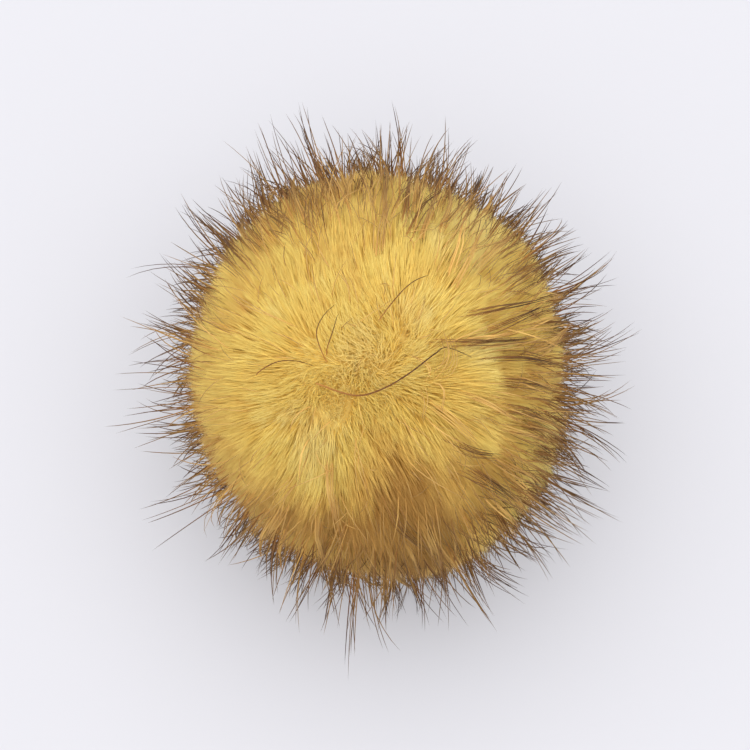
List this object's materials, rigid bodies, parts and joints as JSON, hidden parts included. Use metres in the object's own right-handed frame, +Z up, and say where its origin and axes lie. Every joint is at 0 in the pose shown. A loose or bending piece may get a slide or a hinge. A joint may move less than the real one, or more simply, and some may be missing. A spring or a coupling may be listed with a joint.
{
  "type": "fur pom pom",
  "caption": "Small round pom pom of dense golden fur with longer dark-tipped guard hairs, resting on a small flat spot underneath.",
  "frame": {"origin": "middle of the flat spot underneath, where the gathered pelt rests", "axes": "+Z up through the crown, -Y towards the viewer, +X to the viewer's right"},
  "size_m": [0.0455, 0.0485, 0.0372],
  "materials": {
    "fur": "dyed fur, golden dense underfur with dark brown guard hair tips, dull with a soft sheen"
  },
  "bodies": {
    "root": {"fur_ball": "fur"}
  },
  "joints": []
}
